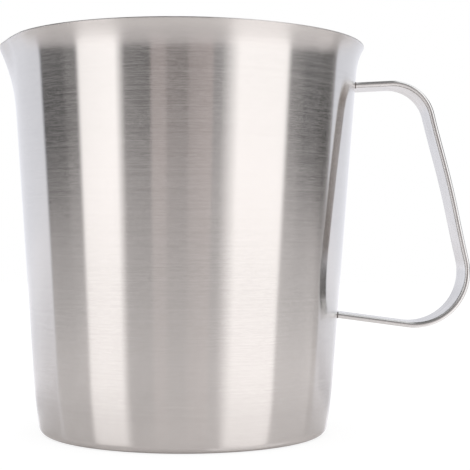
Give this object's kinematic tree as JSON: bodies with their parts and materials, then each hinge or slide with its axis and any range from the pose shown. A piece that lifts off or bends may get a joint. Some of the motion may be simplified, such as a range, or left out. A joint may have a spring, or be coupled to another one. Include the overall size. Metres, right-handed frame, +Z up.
{
  "type": "measuring jug",
  "caption": "Tapered brushed steel measuring jug with a flared rim, a pour lip, graduation lines inside and a bent flat strap handle welded to the wall.",
  "frame": {"origin": "centre of the flat underside, on the axis of the cup", "axes": "+Z up along the cup's axis, +X towards the handle, -X towards the pour lip"},
  "size_m": [0.197, 0.1492, 0.16],
  "materials": {
    "brushed_steel_body": "brushed round the wall",
    "satin_steel_strap": "satin, rounded edges",
    "weld_steel": "heat darkened"
  },
  "bodies": {
    "root": {"body_shell": "brushed_steel_body", "handle_strap": "satin_steel_strap", "upper_weld": "weld_steel", "lower_weld": "weld_steel"}
  },
  "joints": []
}
